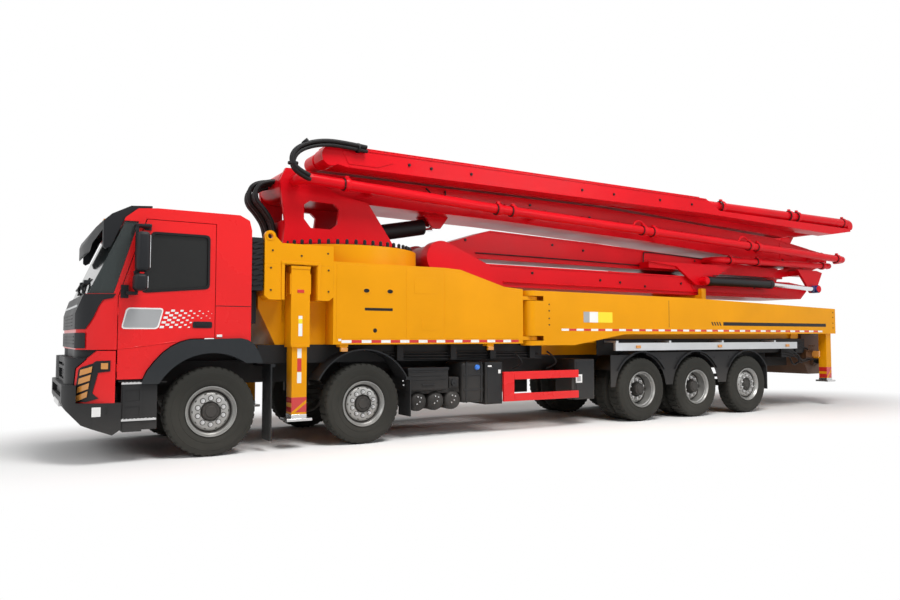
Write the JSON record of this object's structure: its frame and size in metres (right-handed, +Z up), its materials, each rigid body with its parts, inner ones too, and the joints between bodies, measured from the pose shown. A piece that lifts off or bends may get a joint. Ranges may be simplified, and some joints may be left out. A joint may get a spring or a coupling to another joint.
{
  "type": "truck-mounted concrete pump",
  "caption": "Five-axle truck with a folded multi-section placing boom on a slewing turret, side outriggers with jack legs, and a rear hopper.",
  "frame": {"origin": "on the ground, midway along the length, on the centreline", "axes": "+X towards the front, +Y to the left, +Z up"},
  "size_m": [15.9153, 3.1, 4.0948],
  "materials": {
    "wheel_rubber": "matte black tread rubber",
    "chassis_steel": "dark grey satin paint",
    "engine_iron": "dark cast iron",
    "cab_paint": "glossy red paint",
    "dark_glass": "tinted glass",
    "black_plastic": "dark grey grained plastic",
    "lamp_lens": "amber lens",
    "body_paint": "glossy amber-yellow paint",
    "dark_steel": "dark paint",
    "guard_metal": "red paint",
    "rail_alloy": "bare extruded rail",
    "boom_paint": "glossy red paint",
    "cylinder_paint": "black paint",
    "rod_chrome": "polished rod",
    "hose_rubber": "black hose"
  },
  "bodies": {
    "chassis": {"chassis_frame": "chassis_steel", "engine_block": "engine_iron", "axle_beams": "engine_iron", "cab_shell": "cab_paint", "windscreen": "dark_glass", "cab_interior": "black_plastic", "front_panel": "cab_paint", "grille": "black_plastic", "bumper": "black_plastic", "lamps": "lamp_lens", "sun_visor": "black_plastic", "cab_trim": "black_plastic", "cab_steps": "black_plastic", "air_intake": "black_plastic", "body_deck": "body_paint", "rear_body": "body_paint", "hopper": "dark_steel", "mudguards": "black_plastic", "side_tanks": "dark_steel", "side_guards": "guard_metal", "catwalk_rail": "rail_alloy"},
    "steer_hub_1_left": {"knuckle_1_left": "engine_iron"},
    "steer_hub_1_right": {"knuckle_1_right": "engine_iron"},
    "steer_hub_2_left": {"knuckle_2_left": "engine_iron"},
    "steer_hub_2_right": {"knuckle_2_right": "engine_iron"},
    "wheel_1_left": {"wheel_1_left": "wheel_rubber"},
    "wheel_1_right": {"wheel_1_right": "wheel_rubber"},
    "wheel_2_left": {"wheel_2_left": "wheel_rubber"},
    "wheel_2_right": {"wheel_2_right": "wheel_rubber"},
    "wheel_3_left": {"wheel_3_left": "wheel_rubber"},
    "wheel_3_right": {"wheel_3_right": "wheel_rubber"},
    "wheel_4_left": {"wheel_4_left": "wheel_rubber"},
    "wheel_4_right": {"wheel_4_right": "wheel_rubber"},
    "wheel_5_left": {"wheel_5_left": "wheel_rubber"},
    "wheel_5_right": {"wheel_5_right": "wheel_rubber"},
    "door_left": {"cab_door_left": "cab_paint", "door_glass_left": "dark_glass", "mirror_left": "black_plastic"},
    "front_arm_left": {"front_arm_left": "body_paint"},
    "front_leg_left": {"front_leg_left": "body_paint"},
    "rear_beam_left": {"rear_beam_left": "body_paint"},
    "rear_leg_left": {"rear_leg_left": "body_paint"},
    "door_right": {"cab_door_right": "cab_paint", "door_glass_right": "dark_glass", "mirror_right": "black_plastic"},
    "front_arm_right": {"front_arm_right": "body_paint"},
    "front_leg_right": {"front_leg_right": "body_paint"},
    "rear_beam_right": {"rear_beam_right": "body_paint"},
    "rear_leg_right": {"rear_leg_right": "body_paint"},
    "turret": {"turret": "boom_paint", "turret_hoses": "hose_rubber"},
    "boom_1": {"boom_1": "boom_paint"},
    "boom_2": {"boom_2": "boom_paint"},
    "boom_3": {"boom_3": "boom_paint"},
    "boom_5": {"boom_5": "boom_paint"},
    "boom_6": {"boom_6": "boom_paint"},
    "boom_4": {"boom_4": "boom_paint", "fold_hoses": "hose_rubber"},
    "lift_barrel": {"lift_barrel": "cylinder_paint"},
    "lift_rod": {"lift_rod": "rod_chrome"}
  },
  "joints": [
    {"name": "steer_1_left", "type": "hinge", "parent": "chassis", "child": "steer_hub_1_left", "pos_m": [6.3776, 0.8, 0.537], "axis": [0, 0, 1], "range_deg": [-35, 35]},
    {"name": "steer_2_left", "type": "hinge", "parent": "chassis", "child": "steer_hub_2_left", "pos_m": [4.3826, 0.8, 0.537], "axis": [0, 0, 1], "range_deg": [-26, 26]},
    {"name": "steer_1_right", "type": "hinge", "parent": "chassis", "child": "steer_hub_1_right", "pos_m": [6.3776, -0.8, 0.537], "axis": [0, 0, 1], "range_deg": [-35, 35]},
    {"name": "steer_2_right", "type": "hinge", "parent": "chassis", "child": "steer_hub_2_right", "pos_m": [4.3826, -0.8, 0.537], "axis": [0, 0, 1], "range_deg": [-26, 26]},
    {"name": "roll_1_left", "type": "hinge", "parent": "steer_hub_1_left", "child": "wheel_1_left", "pos_m": [6.3776, 0, 0.537], "axis": [0, 1, 0], "continuous": true},
    {"name": "roll_1_right", "type": "hinge", "parent": "steer_hub_1_right", "child": "wheel_1_right", "pos_m": [6.3776, 0, 0.537], "axis": [0, 1, 0], "continuous": true},
    {"name": "roll_2_left", "type": "hinge", "parent": "steer_hub_2_left", "child": "wheel_2_left", "pos_m": [4.3826, 0, 0.537], "axis": [0, 1, 0], "continuous": true},
    {"name": "roll_2_right", "type": "hinge", "parent": "steer_hub_2_right", "child": "wheel_2_right", "pos_m": [4.3826, 0, 0.537], "axis": [0, 1, 0], "continuous": true},
    {"name": "roll_3_left", "type": "hinge", "parent": "chassis", "child": "wheel_3_left", "pos_m": [-0.7974, 0, 0.537], "axis": [0, 1, 0], "continuous": true},
    {"name": "roll_3_right", "type": "hinge", "parent": "chassis", "child": "wheel_3_right", "pos_m": [-0.7974, 0, 0.537], "axis": [0, 1, 0], "continuous": true},
    {"name": "roll_4_left", "type": "hinge", "parent": "chassis", "child": "wheel_4_left", "pos_m": [-2.1674, 0, 0.537], "axis": [0, 1, 0], "continuous": true},
    {"name": "roll_4_right", "type": "hinge", "parent": "chassis", "child": "wheel_4_right", "pos_m": [-2.1674, 0, 0.537], "axis": [0, 1, 0], "continuous": true},
    {"name": "roll_5_left", "type": "hinge", "parent": "chassis", "child": "wheel_5_left", "pos_m": [-3.5874, 0, 0.537], "axis": [0, 1, 0], "continuous": true},
    {"name": "roll_5_right", "type": "hinge", "parent": "chassis", "child": "wheel_5_right", "pos_m": [-3.5874, 0, 0.537], "axis": [0, 1, 0], "continuous": true},
    {"name": "door_open_left", "type": "hinge", "parent": "chassis", "child": "door_left", "pos_m": [7.4276, 1.24, 1.5], "axis": [0, 0, -1], "range_deg": [0, 75]},
    {"name": "door_open_right", "type": "hinge", "parent": "chassis", "child": "door_right", "pos_m": [7.4276, -1.24, 1.5], "axis": [0, 0, 1], "range_deg": [0, 75]},
    {"name": "arm_out_left", "type": "slide", "parent": "chassis", "child": "front_arm_left", "axis": [0, 1, 0], "range_m": [0, 1.4]},
    {"name": "arm_out_right", "type": "slide", "parent": "chassis", "child": "front_arm_right", "axis": [0, -1, 0], "range_m": [0, 1.4]},
    {"name": "front_leg_down_left", "type": "slide", "parent": "front_arm_left", "child": "front_leg_left", "axis": [0, 0, -1], "range_m": [0, 0.35]},
    {"name": "front_leg_down_right", "type": "slide", "parent": "front_arm_right", "child": "front_leg_right", "axis": [0, 0, -1], "range_m": [0, 0.35]},
    {"name": "beam_swing_left", "type": "hinge", "parent": "chassis", "child": "rear_beam_left", "pos_m": [1.4876, 1.1, 1.7], "axis": [0, 0, -1], "range_deg": [0, 90]},
    {"name": "beam_swing_right", "type": "hinge", "parent": "chassis", "child": "rear_beam_right", "pos_m": [1.4876, -1.1, 1.7], "axis": [0, 0, 1], "range_deg": [0, 90]},
    {"name": "rear_leg_down_left", "type": "slide", "parent": "rear_beam_left", "child": "rear_leg_left", "axis": [0, 0, -1], "range_m": [0, 0.45]},
    {"name": "rear_leg_down_right", "type": "slide", "parent": "rear_beam_right", "child": "rear_leg_right", "axis": [0, 0, -1], "range_m": [0, 0.45]},
    {"name": "boom_raise", "type": "hinge", "parent": "turret", "child": "boom_1", "pos_m": [5.1276, 0, 3.58], "axis": [0, 1, 0], "range_deg": [0, 88]},
    {"name": "turret_slew", "type": "hinge", "parent": "chassis", "child": "turret", "pos_m": [4.2476, 0, 2.7], "axis": [0, 0, 1], "range_deg": [-270, 270]},
    {"name": "boom_2_fold", "type": "hinge", "parent": "boom_1", "child": "boom_2", "pos_m": [-7.3724, 0, 3.17], "axis": [0, 1, 0], "range_deg": [0, 180]},
    {"name": "boom_3_fold", "type": "hinge", "parent": "boom_2", "child": "boom_3", "pos_m": [2.7376, 0, 2.66], "axis": [0, -1, 0], "range_deg": [0, 180]},
    {"name": "boom_4_fold", "type": "hinge", "parent": "boom_3", "child": "boom_4", "pos_m": [-7.7524, 0, 3.93], "axis": [0, -1, 0], "range_deg": [0, 180]},
    {"name": "boom_5_fold", "type": "hinge", "parent": "boom_4", "child": "boom_5", "pos_m": [4.7276, 0, 3.93], "axis": [0, 1, 0], "range_deg": [0, 180]},
    {"name": "boom_6_fold", "type": "hinge", "parent": "boom_5", "child": "boom_6", "pos_m": [-6.6224, 0, 3.93], "axis": [0, -1, 0], "range_deg": [0, 180]},
    {"name": "lift_barrel_swing", "type": "hinge", "parent": "turret", "child": "lift_barrel", "pos_m": [4.4276, 0, 2.875], "axis": [0, 1, 0], "range_deg": [0, 100]},
    {"name": "lift_rod_out", "type": "slide", "parent": "lift_barrel", "child": "lift_rod", "axis": [-0.9811, 0, 0.1935], "range_m": [0, 1.377]}
  ],
  "couplings": [
    {"joint": "steer_1_right", "follows": "steer_1_left", "ratio": 1},
    {"joint": "steer_2_left", "follows": "steer_1_left", "ratio": 0.74},
    {"joint": "steer_2_right", "follows": "steer_1_left", "ratio": 0.74},
    {"joint": "turret_slew", "follows": "boom_raise", "ratio": 0.25},
    {"joint": "boom_2_fold", "follows": "boom_raise", "ratio": 0.03},
    {"joint": "boom_3_fold", "follows": "boom_raise", "ratio": 0.03},
    {"joint": "boom_4_fold", "follows": "boom_raise", "ratio": 1.9},
    {"joint": "boom_6_fold", "follows": "boom_5_fold", "ratio": 1},
    {"joint": "lift_barrel_swing", "follows": "boom_raise", "ratio": 0.9495},
    {"joint": "lift_rod_out", "follows": "boom_raise", "m_per_rad": 0.8903}
  ]
}
